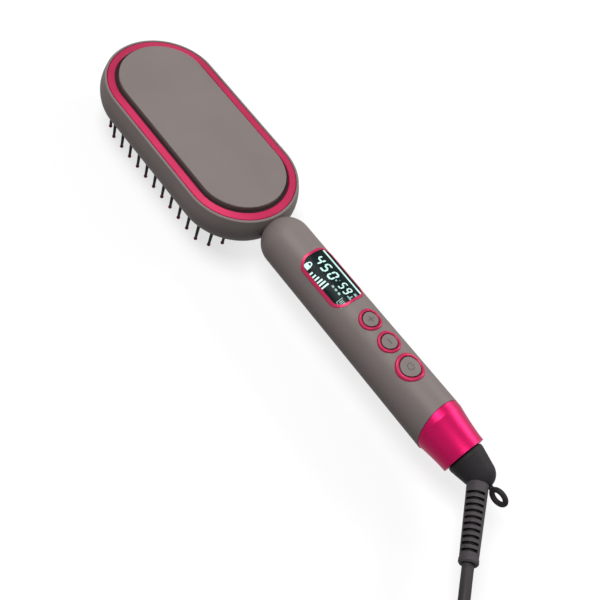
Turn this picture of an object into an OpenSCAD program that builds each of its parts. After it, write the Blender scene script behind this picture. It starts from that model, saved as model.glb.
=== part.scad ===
// Hair straightening brush: an oblong heated brush head on a round handle, with a curved display and
// three buttons on top of the handle and a cord that swivels at its end.
// Lengths are in millimetres. The brush rests on its bristle tips at z = 0, the handle runs along +X,
// and the origin lies under the middle of the brush without its cord.

/* [Head] */
// Half the distance between the centres of the head's two round ends
head_half = 36.6; // [33:0.2:42]
// Radius of the head's round ends at the rim
head_r = 33; // [32:0.2:36]
// Height of the rim above the bristle tips
rim_z = 37; // [35:0.5:40]
// Depth of the head's side wall below the rim
side_h = 19; // [18:0.25:20.5]
// Thickness of the side wall
side_t = 2.2; // [1.8:0.1:2.4]
// How far the side wall curls in at its lower edge
side_curl = 2.6; // [2:0.2:3]
// How much narrower the side wall's lower edge is than its rim, before the curl
side_draft = 0.3; // [0.1:0.1:0.5]
// How far the side wall stands out beyond the rim where it is widest
side_bulge = 1.6; // [1.2:0.1:2]
// Depth of that widest place below the rim
bulge_drop = 9; // [8:0.5:10]
// Width of the lip that stands round the accent ring
lip_t = 1.4; // [1.2:0.05:1.6]
// Rounding of the lip's outer edge
lip_round = 0.7; // [0.5:0.05:0.9]

/* [Accent ring and top panel] */
// Depth of the accent ring at its outer edge
accent_t = 1.9; // [1.6:0.1:2.4]
// How far the accent ring rises from its outer to its inner edge
accent_rise = 0.7; // [0.4:0.1:1]
// Width and depth of the slope along the accent ring's outer edge
accent_edge = 0.6; // [0.4:0.1:0.8]
// Width of the shadow groove between the ring and the top panel
groove_w = 1.9; // [1.4:0.1:2.2]
// Depth of the shadow groove
groove_d = 1.1; // [0.8:0.1:1.3]
// Distance of the top panel's edge from the head's edge
panel_inset = 7.8; // [7.2:0.1:9]
// Height of the top panel above the rim
panel_rise = 3; // [2.4:0.1:4]
// Thickness of the top panel
panel_t = 1.8; // [1.4:0.1:2.2]
// Rounding of the top panel's upper edge
panel_round = 0.6; // [0.4:0.1:1]

/* [Bristles and heating plate] */
// Distance of the outer bristles from the head's long edges
bristle_inset = 5.8; // [5.6:0.1:6.4]
// How far the bristles at the head's ends stand past the centres of its round ends
bristle_past = 15.4; // [15:0.2:16]
// Radius of the corners in the row of outer bristles
bristle_corner = 12; // [10:0.5:13]
// Distance between the rows at the head's ends
end_step = 7.5; // [7.3:0.1:7.6]
// Distance between neighbouring bristles and teeth in a row
bristle_pitch = 8.17; // [7.4:0.01:9]
// How far the first outer bristle stands past the middle of the head
bristle_shift = 1.2; // [0:0.1:4]
// Diameter of a bristle where it leaves the frame
bristle_d = 2.1; // [1.8:0.1:2.6]
// Diameter of a bristle just above its tip
bristle_tip_d = 1.5; // [1.3:0.1:1.8]
// Diameter of the ball at a bristle's tip
bristle_ball_d = 2.1; // [1.9:0.1:2.5]
// Diameter of a heated tooth at its root
tooth_d = 3.4; // [2.8:0.1:3.8]
// Diameter of a heated tooth under its cap
tooth_end_d = 2; // [1.6:0.1:2.4]
// Height of the heated teeth's caps above the bristle tips
tooth_short = 1.4; // [1:0.1:3]
// Wall of the cool cap on each heated tooth
tooth_cap_t = 0.5; // [0.4:0.05:0.7]
// Length of the cool cap on each heated tooth
tooth_cap_h = 4; // [3:0.5:6]
// Thickness of the bristle frame's flange
frame_t = 2; // [1.6:0.1:2.4]
// Thickness of the housing's seat under the bristle frame
frame_seat_t = 1.6; // [1.2:0.1:2]
// Distance of the bristle frame's opening from the head's long edges
frame_open_inset = 10.8; // [10.6:0.1:11.4]
// Distance of the bristle frame's opening from the bristles at the head's ends
frame_open_end = 4; // [3.6:0.1:4.4]
// Thickness of the heating plate
plate_t = 3; // [2.4:0.1:3.2]
// Overlap of the heating plate on the bristle frame
plate_lap = 3.6; // [3.2:0.1:3.8]
// How far the heater bars reach past the centres of the head's round ends
heater_past = 13.4; // [4:0.2:14]
// Distance of the heater bars' long edges from the bristle frame's opening
heater_margin = 11.2; // [9:0.1:14]
// Thickness of a heater bar
heater_t = 2.2; // [1.8:0.1:2.4]
// Gap between the two heater bars
heater_gap = 8; // [4:1:12]
// Thickness of the sheet that presses the heater bars down
clamp_t = 0.6; // [0.5:0.05:0.8]

/* [Handle] */
// Depth of the handle's centre line below the rim
axis_drop = 8.8; // [8.4:0.1:9.4]
// Radius of the handle at its shoulder
handle_r = 14.1; // [13.7:0.1:15]
// Radius of the handle where it meets the collar
handle_tail_r = 14.6; // [14.1:0.1:15.4]
// Distance from the head's tip to the centre of the handle's round shoulder
shoulder_gap = 12.4; // [11:0.1:14]
// Length of the handle from its shoulder to the joint with the collar
handle_l = 124.5; // [122:0.5:132]
// Lean of the joint between handle and collar
joint_lean = 18; // [8:1:22]
// Width of the open line at that joint
joint_gap = 0.3; // [0.2:0.05:0.4]
// Wall of the handle sleeve
sleeve_t = 2; // [1.6:0.1:2.2]
// Radius of the hollow neck that joins the handle to the head
neck_r = 6.4; // [5.6:0.1:6.8]
// Wall of the neck
neck_t = 1.6; // [1.2:0.1:2]
// Length of the neck inside the head, from the inside of the side wall
neck_in = 4.3; // [4:0.1:4.4]

/* [Display] */
// Distance from the handle's shoulder to the middle of the display
display_at = 34; // [32:0.5:36]
// Length of the display with its frame
display_l = 35; // [31:0.5:36]
// Width of the display with its frame, seen from above
display_w = 21; // [19:0.25:21.5]
// Radius of the display's corners
display_corner = 6.5; // [4:0.5:8]
// Width of the display's frame
bezel_w = 1.4; // [1:0.1:1.8]
// Height of the display's frame above the sleeve
bezel_rise = 0.35; // [0.2:0.05:0.5]
// Thickness of the display's window
lens_t = 1.5; // [1.2:0.1:1.8]

/* [Buttons] */
// Distance from the handle's shoulder to the increase button
increase_at = 64.2; // [63.5:0.1:64.6]
// Distance from the handle's shoulder to the decrease button
decrease_at = 79.1; // [78:0.1:80]
// Distance from the handle's shoulder to the power button
power_at = 95.5; // [94.5:0.1:98]
// Radius of the two small button rings
small_ring_r = 6.4; // [5.8:0.1:6.8]
// Radius of the power button's ring
power_ring_r = 8; // [7.4:0.1:8.4]
// Width of the two small button rings
small_ring_w = 1.8; // [1.5:0.1:2]
// Width of the power button's ring
power_ring_w = 2.1; // [1.6:0.1:2.4]
// Height of a button ring above the sleeve
ring_rise = 0.8; // [0.5:0.1:1.2]
// Height of a button cap above the sleeve
cap_rise = 0.45; // [0.2:0.05:0.6]
// Gap round each button cap
cap_gap = 0.45; // [0.3:0.05:0.6]
// Travel of the buttons
button_travel = 0.8; // [0.5:0.1:1]
// Thickness of the flange that keeps a cap in the handle
flange_t = 0.8; // [0.6:0.1:1]
// Width of that flange beyond the cap
flange_w = 0.8; // [0.6:0.1:1]
// Side of a switch housing
switch_w = 6; // [5:0.1:6.2]
// Height of a switch housing
switch_h = 3.4; // [3.2:0.1:3.8]
// Diameter of a switch's plunger
plunger_d = 3.2; // [2.6:0.1:3.6]

/* [Board and carrier] */
// Height of the circuit board's upper face above the handle's centre line
board_up = 3.2; // [2.8:0.1:3.6]
// Thickness of the circuit board
board_t = 1.6; // [1:0.2:1.8]
// Width of the circuit board
board_w = 21; // [18:0.5:21.5]
// Distance from the handle's shoulder to the board's head end
board_at = 11; // [9:0.5:13]
// Distance from the board's other end to the joint with the collar
board_end = 20.5; // [16:0.5:21]
// Wall of the carrier that holds the board
carrier_t = 1.6; // [1.2:0.1:2]

/* [Collar and cord swivel] */
// Length of the collar
collar_l = 19.5; // [18:0.5:25]
// Radius of the collar's free end
collar_end_r = 12.3; // [12:0.1:13]
// Length of the collar's spigot inside the handle
spigot_l = 9; // [7:0.5:11]
// Wall of the collar's spigot
spigot_t = 1.3; // [1:0.1:1.5]
// Thickness of the collar's end wall
collar_end_t = 1.6; // [1.2:0.1:2]
// Radius of the swivel's journal
journal_r = 8.6; // [8:0.1:9]
// Radial running clearance of the journal in its bush
running = 0.06; // [0.04:0.01:0.1]
// Length of the swivel bush
bush_l = 11; // [9:0.5:12]
// Length of the flange that keeps the swivel in
keeper_l = 2; // [1.5:0.1:2.5]
// Radius of that flange
keeper_r = 10; // [9.6:0.1:10.4]
// Radius of the swivel's shoulder outside the collar
elbow_r = 10.1; // [9.6:0.1:11]
// Radius of the swivel's round end
elbow_end_r = 8.2; // [7.8:0.1:8.6]
// Distance from the collar's free end to the corner where the cord turns off
corner_past = 11.3; // [10.5:0.1:14]
// Angle between the handle and the cord's way out
elbow_bend = 52; // [40:1:60]
// Radius of the nose that carries the slip rings
nose_r = 4.6; // [4:0.1:5]
// Length of a slip ring along the nose
slip_l = 2.2; // [1.8:0.1:2.6]
// Thickness of a slip ring
slip_t = 0.6; // [0.4:0.1:0.8]
// Radius of the hanging loop's eye
eye_r = 3; // [2.6:0.1:3.4]
// Thickness of the hanging loop
loop_d = 2.8; // [2.4:0.1:3]

/* [Strain relief, cord and plug] */
// Distance from the corner to the strain relief's free end
relief_l = 46.5; // [42:0.5:56]
// Radius of the strain relief at the swivel
relief_r = 5.5; // [5.2:0.1:6]
// Radius of the strain relief behind its end ring
relief_end_r = 4.55; // [4.3:0.05:5]
// Number of slots along the strain relief
slot_n = 10; // [7:1:10]
// Distance between the slots
slot_pitch = 3.2; // [3:0.05:3.3]
// Width of a slot
slot_w = 1.5; // [1.2:0.05:1.6]
// Depth of the slots
slot_d = 1.2; // [0.9:0.05:1.3]
// Diameter of the cord
cord_d = 5.8; // [5:0.1:6.6]
// Thickness of the tie round the coiled cord
tie_t = 0.8; // [0.6:0.1:1]
// Width of that tie
tie_w = 9; // [7:0.5:12]
// Width of the plug across its blades
plug_w = 24; // [22:0.5:28]
// Thickness of the plug
plug_t = 15; // [13:0.5:17]
// Length of the plug's body
plug_l = 26; // [24:0.5:32]
// Distance between the middles of the plug's two blades
blade_gap = 12.7; // [12:0.1:13.4]
// Length of a blade
blade_l = 17; // [15:0.5:18]
// Height of a blade
blade_h = 6.35; // [5.95:0.1:6.75]
// Thickness of a blade
blade_t = 1.5; // [1.3:0.05:1.7]

/* [Hidden] */
$fn = 64;
eps = 0.01;
past = 1;            // how far a cut runs past the face it opens
through = 60;        // longer than any wall that a cut goes through
fit = 0.15;          // gap between parts that slide or drop into each other
seat_in = 0.5;       // how far a rib is rooted in the wall that carries it

// Heights in the head
axis_z = rim_z - axis_drop;
side_z = rim_z - side_h;
accent_z = rim_z - accent_t;
accent_top = rim_z + accent_rise;
groove_z = accent_top - groove_d;
panel_z = rim_z + panel_rise;
bulge_z = rim_z - bulge_drop;
frame_z = side_z + frame_seat_t;
plate_z = frame_z + frame_t;
plate_top = plate_z + plate_t;
heater_top = plate_top + heater_t;
clamp_top = heater_top + clamp_t;
tooth_tip_z = tooth_short + tooth_cap_t;

// Radii in the head, from the line of centres
wall_in_r = head_r - side_draft - side_t;
curl_r = head_r - side_draft - side_curl;
// the frame reaches a little past the bristles at its corners, and the seat follows it
seat_r = norm([bristle_past, head_r - bristle_inset] - [1, 1] * bristle_corner)
    + bristle_corner + bristle_d / 2 + 0.35;
accent_r = head_r - lip_t;
panel_r = head_r - panel_inset;
accent_in_r = panel_r - 1.8;
frame_open_r = head_r - frame_open_inset;
frame_r = wall_in_r - fit;
plate_r = frame_open_r + plate_lap;
screw_row_r = frame_open_r + 1.9;
screw_out = head_half - 6.6;
screw_x = [-screw_out, 0, screw_out];
screw_r = 1;
screw_thread_r = screw_r - 0.1;
screw_head_r = 1.6;
screw_head_h = 1.2;
screw_low = 0.4;     // how far a screw's head is sunk in the frame
frame_low = side_z + 0.2;
screw_hole_d = 8;    // depth of the hole in a screw's boss
boss_r = 2.6;
boss_top = accent_z - 1;
boss_web_t = 1.6;    // thickness of the web that ties a screw boss to the side wall

// The rows of bristles and teeth are rounded rectangles: half length, half width, corner radius
bristle_row = [head_half + bristle_past, head_r - bristle_inset, bristle_corner];
function inner_row(i) =
    let (part = (3 - i) / 3) [bristle_row[0] - i * end_step, bristle_row[1] * part, bristle_row[2] * part];
frame_open_l = bristle_row[0] - frame_open_end;
frame_open_corner = bristle_corner / 2;

// Heaters
heater_l = head_half + heater_past - heater_gap / 2;
heater_w = 2 * (frame_open_r - heater_margin);
clamp_in = 4;        // distance of the clamp's edges from the heater bars' edges
terminal_l = 3;      // length of the terminal on each heater lead
terminal_w = 2;
terminal_in = 7;     // distance of a terminal from the heater bar's end

// The handle's length
head_tip = head_half + head_r;
shoulder_x = head_tip + shoulder_gap;
hollow_x = shoulder_x + side_bulge;
joint_x = shoulder_x + handle_l;
collar_x = joint_x + collar_l;
corner_x = collar_x + corner_past;
display_x = shoulder_x + display_at;
board_x0 = shoulder_x + board_at;
board_l = handle_l - board_at - board_end;
wall_x = head_half + wall_in_r;
neck_x = wall_x - neck_in;
clip_t = 1.2;
clip_half_w = 9.5;
neck_groove = 0.8;
neck_root = 2;       // how far the neck runs on past the side wall, into the shoulder
clip_seat_x = head_half + sqrt(pow(wall_in_r, 2) - pow(clip_half_w, 2));
clip_z = [axis_z - neck_r, accent_z - 0.2];
clip_pad_t = 1.3;    // thickness of the pad that the clip bears on
spigot_x = joint_x - spigot_l;
end_wall_x = collar_x - collar_end_t;
bush_x = end_wall_x - bush_l;
keeper_x = bush_x - fit - keeper_l;
bush_r = collar_end_r - 1.5;
nose_x = keeper_x - 2 * slip_l - 4;
contact_l = 2.6;
contact_x = nose_x - 0.6 - contact_l;
loop_r = eye_r + 0.4 * loop_d;
loop_gap = 0.6;
loop_x = corner_x + elbow_end_r + loop_gap + loop_r + loop_d / 2;
tail_x = loop_x + loop_r + loop_d / 2;
mid_x = (tail_x - head_tip - side_bulge) / 2;

// Buttons, in the order increase, decrease, power
button_x = [for (at = [increase_at, decrease_at, power_at]) shoulder_x + at];
ring_r = [small_ring_r, small_ring_r, power_ring_r];
ring_w = [small_ring_w, small_ring_w, power_ring_w];
ring_wall = 0.7;     // the wall of a ring's tube where it passes through the sleeve

// Board, switches and leads
board_top = axis_z + board_up;
switch_top = board_top + switch_h;
stem_z = switch_top + button_travel + 0.1;
plunger_in = 0.6;
stem_d = plunger_d - 0.6;
well_d = plunger_in + button_travel + 0.4;
lead_r = 0.9;
lead_y = 2;
lead_z = board_top - board_t - lead_r - 0.3;
block_l = 5;
block_w = 8;
block_in = 2;        // distance of a connector block from the board's end

// The strain relief's line: it leaves the corner sideways, level with the handle
relief_dir = [cos(elbow_bend), -sin(elbow_bend), 0];
relief_end = [corner_x, 0, axis_z] + relief_l * relief_dir;
relief_ring_l = 3;
socket_l = 4;        // distance from the corner to the floor of the boot's socket
slot_0 = relief_l - relief_ring_l - 0.3 - slot_w - (slot_n - 1) * slot_pitch;

// Everything on the cord is placed from the boot's end, at its own height over the surface
cord_start = relief_end - [mid_x, 0, 0];
function from_boot(p) = [cord_start[0] + p[0], cord_start[1] + p[1], p[2]];

// The coil of spare cord lies on the same surface, past the end of the brush
coil_out = 72.8;     // how far the coil's middle lies past the boot's end
coil_aside = 13.4;   // and how far to the side that the boot points to
coil_at = from_boot([coil_out, -coil_aside, 0]);
coil_r = 32;
coil_cols = 3;
coil_rows = 3;
coil_w = coil_cols * cord_d;
coil_h = coil_rows * cord_d;
tie_turn = 60;
cord_sides = 10;
plug_z = tie_t + coil_h + plug_t / 2;
plug_neck_l = 9;
hole_in = 4.5;       // distance of the hole in a blade from its tip

// The cord's way from the strain relief down to the coil: round numbers, chosen by hand
cord_way = [for (p = [
    [11.8, -14.9, 28], [19.8, -23.9, 25.5], [27.8, -31.4, 19.5], [34.8, -36.9, 12.5],
    [41.8, -41.9, 6.5], [48.8, -45.9, 3.6], [55.8, -48.4, 3.2], [62.8, -49.9, 3.7],
]) from_boot(p)];
// The last of the cord, from the top of the coil to the plug
tail_way = [for (p = [
    [42.8, -24.4, 15.3], [45.8, -30.4, 16.6], [50.8, -36.4, 19], [56.8, -41.4, 22],
    [63.8, -44.4, 24.8], [70.8, -45.4, plug_z],
]) from_boot(p)];
plug_at = tail_way[len(tail_way) - 1];

grey = [0.5, 0.47, 0.46];
pink = [0.84, 0.16, 0.39];
soft_black = [0.24, 0.23, 0.24];

// ---------- Shared shapes ----------

// Everything is drawn from the middle of the head and then moved so that the origin is the brush's
module placed() { translate([-mid_x, 0, 0]) children(); }

// An oblong with round ends, flat on the XY plane
module oblong(r) {
    square([2 * head_half, 2 * r], center = true);
    for (s = [-1, 1]) translate([s * head_half, 0]) circle(r);
}

module slab(r, z0, z1) { translate([0, 0, z0]) linear_extrude(z1 - z0) oblong(r); }

module rounded_oblong(l, w, r) {
    square([l - 2 * r, w], center = true);
    square([l, w - 2 * r], center = true);
    for (sx = [-1, 1]) for (sy = [-1, 1]) translate([sx * (l / 2 - r), sy * (w / 2 - r)]) circle(r);
}

// A profile (distance from the line of centres, height) carried once round the head
module round_the_head() {
    for (s = [0, 180]) rotate(s) {
        translate([head_half, 0, 0]) rotate(-90) rotate_extrude(angle = 180) children();
        translate([-head_half, 0, 0]) rotate([90, 0, 90]) linear_extrude(2 * head_half) children();
    }
}

// A round thing on the handle's centre line; its own height runs along the handle
module on_axis(x = 0) { translate([x, 0, axis_z]) rotate([0, 90, 0]) children(); }

function sleeve_r(x) = handle_r + (handle_tail_r - handle_r) * (x - shoulder_x) / (joint_x - shoulder_x);

// The handle's tapering form between two places, larger or smaller by a given skin
module taper(skin, x0, x1) {
    on_axis() rotate_extrude()
        polygon([[0, x0], [sleeve_r(x0) + skin, x0], [sleeve_r(x1) + skin, x1], [0, x1]]);
}

module pipe(r_out, r_in, x0, x1) {
    on_axis(x0) difference() {
        cylinder(r = r_out, h = x1 - x0);
        translate([0, 0, -past]) cylinder(r = r_in, h = x1 - x0 + 2 * past);
    }
}

// The space behind the leaning joint of handle and collar
module behind_joint(gap = 0) {
    big = 100;
    translate([joint_x, 0, axis_z]) rotate([0, -joint_lean, 0])
        translate([gap, -big / 2, -big / 2]) cube(big);
}

function quarter(c, rx, rz, a0, a1, n) =
    [for (i = [0:n]) let (a = a0 + (a1 - a0) * i / n) c + [rx * cos(a), rz * sin(a)]];

// A quarter of a row [half length, half width, corner], from the middle of -Y to the middle of +X
function quarter_l(row) = row[0] + row[1] - (2 - PI / 2) * row[2];
function quarter_point(row, t) =
    let (straight = row[0] - row[2], a = (t - straight) / row[2] * 180 / PI)
    a < 0 ? [t, -row[1]]
    : a < 90 ? [straight, row[2] - row[1]] + row[2] * [sin(a), -cos(a)]
    : [row[0], t - quarter_l(row)];

// The place at length s along the whole row, and the row's pins at an even pitch
function row_point(row, s) =
    let (q = quarter_l(row), half_s = s % (2 * q), p = quarter_point(row, min(half_s, 2 * q - half_s)))
    (s % (4 * q) < 2 * q ? 1 : -1) * [p[0], half_s < q ? p[1] : -p[1]];
function row_points(row) =
    let (l = 4 * quarter_l(row), n = round(l / bristle_pitch))
    [for (i = [0:n - 1]) row_point(row, bristle_shift + i * l / n)];

outer_bristles = row_points(bristle_row);
middle_l = inner_row(3)[0];
middle_n = 2 * round(middle_l / bristle_pitch);
teeth = concat(
    row_points(inner_row(1)), row_points(inner_row(2)),
    [for (i = [0:middle_n]) [middle_l * (2 * i / middle_n - 1), 0]]
);
screw_places = [for (x = screw_x) for (s = [-1, 1]) [x, s * screw_row_r]];

module at_each(places) { for (p = places) translate([p[0], p[1], 0]) children(); }

// ---------- Head ----------

// The side wall's outside from the lip down: a round edge, a swell below it and the curl at the foot
function side_line(skin = 0) =
    let (r = head_r + skin, z = rim_z - lip_round, swell_n = 6)
    concat(
        quarter([r - lip_round, z], lip_round, lip_round, 90, 0, 4),
        [for (i = [1:swell_n - 1]) let (t = i / swell_n)
            [r + side_bulge * sin(90 * t), z + (bulge_z - z) * t]],
        quarter([curl_r + skin, bulge_z], head_r + side_bulge - curl_r, bulge_z - side_z, 0, -90, 8)
    );

module head_housing() color(grey) placed() {
    difference() {
        union() {
            round_the_head() polygon(concat(
                [[accent_r, accent_z], [accent_r, rim_z]],
                side_line(),
                [[seat_r, side_z], [seat_r, frame_z], [wall_in_r, frame_z], [wall_in_r, accent_z]]
            ));
            at_each(screw_places) translate([0, 0, plate_top]) cylinder(r = boss_r, h = boss_top - plate_top);
            for (p = screw_places) boss_rib(p);
            clip_seat();
        }
        at_each(screw_places) translate([0, 0, plate_top - past])
            cylinder(r = screw_thread_r, h = past + screw_hole_d);
        on_axis(neck_x) cylinder(r = neck_r + 0.05, h = through);
    }
}

// The web that ties a screw boss to the side wall
module boss_rib(p) {
    y0 = screw_row_r;
    y1 = wall_in_r + seat_in;
    translate([p[0] - boss_web_t / 2, p[1] > 0 ? y0 : -y1, plate_top])
        cube([boss_web_t, y1 - y0, boss_top - plate_top]);
}

// A flat pad inside the round side wall, for the clip on the neck
module clip_seat() {
    translate([clip_seat_x, -clip_half_w, clip_z[0]])
        cube([clip_pad_t, 2 * clip_half_w, clip_z[1] - clip_z[0]]);
}

module accent_ring() color(pink) placed() {
    groove_r = panel_r + groove_w;
    round_the_head() polygon([
        [accent_r, accent_z], [accent_r, rim_z - accent_edge], [accent_r - accent_edge, rim_z + 0.1],
        [groove_r + 0.4, accent_top], [groove_r, accent_top - 0.3], [groove_r, groove_z],
        [accent_in_r, groove_z], [accent_in_r, accent_z],
    ]);
}

module top_panel() color(grey) placed() {
    core_r = panel_r - panel_round;
    difference() {
        union() {
            slab(core_r, panel_z - panel_t, panel_z);
            slab(panel_r, groove_z, panel_z - panel_round);
            round_the_head() translate([core_r, panel_z - panel_round]) circle(panel_round);
        }
        slab(panel_r - panel_t, groove_z - past, panel_z - panel_t);
    }
    // the hooks stand midway between the screw bosses
    for (x = [-1, 1] * screw_out / 2) for (s = [-1, 1]) panel_hook(x, s);
}

// A snap hook under the panel that grips the accent ring's inner edge
module panel_hook(x, s) {
    y = accent_in_r - fit;
    hook_w = 8;
    translate([x - hook_w / 2, 0, 0]) rotate([90, 0, 90]) linear_extrude(hook_w) scale([s, 1])
        polygon([
            [y - 1.2, panel_z - panel_t + eps], [y - 1.2, accent_z - 1.4], [y - 0.4, accent_z - 1.4],
            [y + 0.5, accent_z - 0.4], [y + 0.5, accent_z - 0.05], [y, accent_z - 0.05],
            [y, panel_z - panel_t + eps],
        ]);
}

// The cool bristles stand on the frame's lower face, in one row round the head
module bristles() color([0.2, 0.19, 0.19]) placed() at_each(outer_bristles) {
    ball_r = bristle_ball_d / 2;
    translate([0, 0, ball_r]) {
        cylinder(d1 = bristle_tip_d, d2 = bristle_d, h = frame_low - ball_r);
        sphere(ball_r);
    }
}

module bristle_frame() color([0.2, 0.19, 0.19]) placed() {
    difference() {
        union() {
            slab(frame_r, frame_z, plate_z);
            slab(seat_r - fit, frame_low, frame_z + eps);
        }
        translate([0, 0, side_z - past]) linear_extrude(through)
            rounded_oblong(2 * frame_open_l, 2 * frame_open_r, frame_open_corner);
        at_each(screw_places) translate([0, 0, side_z - past]) {
            cylinder(r = screw_r + fit, h = through);
            cylinder(r = screw_head_r + fit, h = past + screw_low + screw_head_h);
        }
    }
}

module heating_plate() color([0.3, 0.29, 0.3]) placed() difference() {
    slab(plate_r, plate_z, plate_top);
    at_each(screw_places) cylinder(r = screw_r + fit, h = through);
}

// Each heated tooth is a cone under the plate that ends a little above the bristle tips, in its cap
module heating_teeth() color([0.3, 0.29, 0.3]) placed() at_each(teeth) translate([0, 0, tooth_tip_z])
    cylinder(d1 = tooth_end_d, d2 = tooth_d, h = plate_z - tooth_tip_z);

// The caps are sleeves with a round end, so that no hot metal touches the scalp
module tooth_caps() color(pink) placed() {
    cone_d = tooth_end_d + (tooth_d - tooth_end_d) * tooth_cap_h / (plate_z - tooth_tip_z);
    end_r = tooth_end_d / 2 + tooth_cap_t;
    at_each(teeth) rotate_extrude() difference() {
        union() {
            polygon([
                [0, tooth_short + end_r / 2], [end_r, tooth_short + end_r / 2],
                [cone_d / 2 + tooth_cap_t, tooth_tip_z + tooth_cap_h], [0, tooth_tip_z + tooth_cap_h],
            ]);
            polygon(concat([[0, tooth_short + end_r / 2]],
                quarter([0, tooth_short + end_r / 2], end_r, end_r / 2, 0, -90, 4)));
        }
        polygon([
            [-1, tooth_tip_z], [tooth_end_d / 2, tooth_tip_z], [cone_d / 2, tooth_tip_z + tooth_cap_h],
            [cone_d / 2, tooth_tip_z + tooth_cap_h + 1], [-1, tooth_tip_z + tooth_cap_h + 1],
        ]);
    }
}

module heater_bar(side) {
    x0 = side > 0 ? heater_gap / 2 : -heater_gap / 2 - heater_l;
    translate([x0, -heater_w / 2, plate_top]) cube([heater_l, heater_w, heater_t]);
}

module heater_front() color("white") placed() heater_bar(-1);
module heater_rear() color("white") placed() heater_bar(1);

// A bent sheet over both heater bars, with a foot at each end on the heating plate
module heater_clamp() color("silver") placed() {
    top_x = heater_gap / 2 + heater_l + 0.6;
    foot_x = top_x + 4;
    half = [
        [foot_x, plate_top], [foot_x, plate_top + clamp_t], [top_x + clamp_t, plate_top + clamp_t],
        [top_x + clamp_t, clamp_top],
    ];
    under = [[top_x, heater_top], [top_x, plate_top]];
    outline = concat(half, [for (i = [3:-1:0]) [-half[i][0], half[i][1]]],
        [for (i = [1:-1:0]) [-under[i][0], under[i][1]]], under);
    clamp_w = heater_w - 2 * clamp_in;
    translate([0, clamp_w / 2, 0]) rotate([90, 0, 0]) linear_extrude(clamp_w) polygon(outline);
}

// The fuse lies across the middle of the front heater bar, with a wire out of each end
module thermal_fuse() color("gold") placed() {
    r = 1.9;
    l = 10;
    wire_l = 22;
    translate([-(heater_gap + heater_l) / 2, 0, clamp_top + r]) rotate([0, 90, 0]) {
        cylinder(r = r, h = l, center = true);
        cylinder(r = r / 5, h = wire_l, center = true);
    }
}

// A glass bead on the plate beside the heater bars, drawn out over its two wires
module temperature_sensor() color("darkgreen") placed() {
    r = 1.2;
    wire_r = 0.5;
    wire_l = 9;
    translate([0, heater_w / 2 + 2.5 * r, plate_top + r]) rotate([0, 90, 0]) rotate_extrude() polygon([
        [0, -r], [r * 0.6, -r * 0.8], [r, -r * 0.2], [r, r * 0.4],
        [wire_r, r * 1.6], [wire_r, wire_l], [0, wire_l],
    ]);
}

module head_screws() color("silver") placed() at_each(screw_places) {
    shank_l = 10;
    socket_r = 0.7;
    socket_d = 0.7;
    translate([0, 0, side_z + screw_low]) difference() {
        union() {
            cylinder(r = screw_head_r, h = screw_head_h);
            cylinder(r = screw_thread_r, h = shank_l);
        }
        translate([0, 0, -past]) cylinder(r = socket_r, h = past + socket_d, $fn = 6);
    }
}

// Two wires from the board through the neck to the heaters, with a flat terminal on each
module heater_leads() color("firebrick") placed() for (s = [-1, 1]) {
    x0 = heater_gap / 2 + heater_l - terminal_in;
    x1 = board_x0 + block_in;
    translate([x0 + terminal_l / 2, s * lead_y, lead_z]) rotate([0, 90, 0])
        cylinder(r = lead_r, h = x1 - x0 - terminal_l / 2);
    translate([x0, s * lead_y - terminal_w / 2, clamp_top])
        cube([terminal_l, terminal_w, lead_z - clamp_top]);
}

// The fork that drops over the neck's groove and locks the neck behind the side wall
module neck_clip() color("silver") placed() difference() {
    slot_r = neck_r - neck_groove + 0.05;
    translate([clip_seat_x - 0.05 - clip_t, -clip_half_w, clip_z[0]])
        cube([clip_t, 2 * clip_half_w, clip_z[1] - clip_z[0]]);
    on_axis(neck_x) cylinder(r = slot_r, h = neck_in);
    translate([neck_x, -slot_r, clip_z[0] - 1]) cube([neck_in, 2 * slot_r, axis_z - clip_z[0] + 1]);
}

// ---------- Handle ----------

module button_hole(i) {
    translate([button_x[i], 0, axis_z]) cylinder(r = ring_tube_r(i) + 0.02, h = through);
}

function ring_tube_r(i) = ring_r[i] - ring_w[i] + ring_wall;

// The display's outline as a prism standing on the handle's centre line, smaller by a given inset
module display_prism(inset) {
    translate([display_x, 0, axis_z]) linear_extrude(2 * handle_tail_r)
        rounded_oblong(display_l - 2 * inset, display_w - 2 * inset, display_corner - inset);
}

module handle_sleeve() color(grey) placed() difference() {
    union() {
        difference() {
            union() {
                on_axis(shoulder_x) sphere(handle_r);
                taper(0, shoulder_x, collar_x);
            }
            on_axis(hollow_x) sphere(handle_r - sleeve_t);
            taper(-sleeve_t, hollow_x, collar_x + past);
            round_the_head() polygon(concat([[0, rim_z]], side_line(0.02), [[0, side_z]]));
        }
        on_axis(neck_x) cylinder(r = neck_r, h = head_tip + side_bulge + neck_root - neck_x);
    }
    on_axis(neck_x - 1) cylinder(r = neck_r - neck_t, h = shoulder_x - neck_x);
    pipe(neck_r + 1, neck_r - neck_groove, clip_seat_x - 0.1 - clip_t, clip_seat_x);
    behind_joint();
    display_prism(-0.02);
    for (i = [0:2]) button_hole(i);
}

module display_frame() color(pink) placed() difference() {
    intersection() {
        display_prism(0);
        taper(bezel_rise, shoulder_x, joint_x);
    }
    taper(-sleeve_t, shoulder_x, joint_x + past);
    display_prism(bezel_w);
}

module display_window() color([0.1, 0.2, 0.22]) placed() difference() {
    intersection() {
        display_prism(bezel_w + 0.05);
        taper(0, shoulder_x, joint_x);
    }
    taper(-lens_t, shoulder_x, joint_x + past);
}

// The module stands on the board under the window, with the display's outline and a round top
module display_module() color([0.15, 0.16, 0.16]) placed() intersection() {
    taper(-lens_t - 2 * fit, shoulder_x, joint_x);
    translate([0, 0, board_up]) display_prism(bezel_w + 0.6);
}

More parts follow.
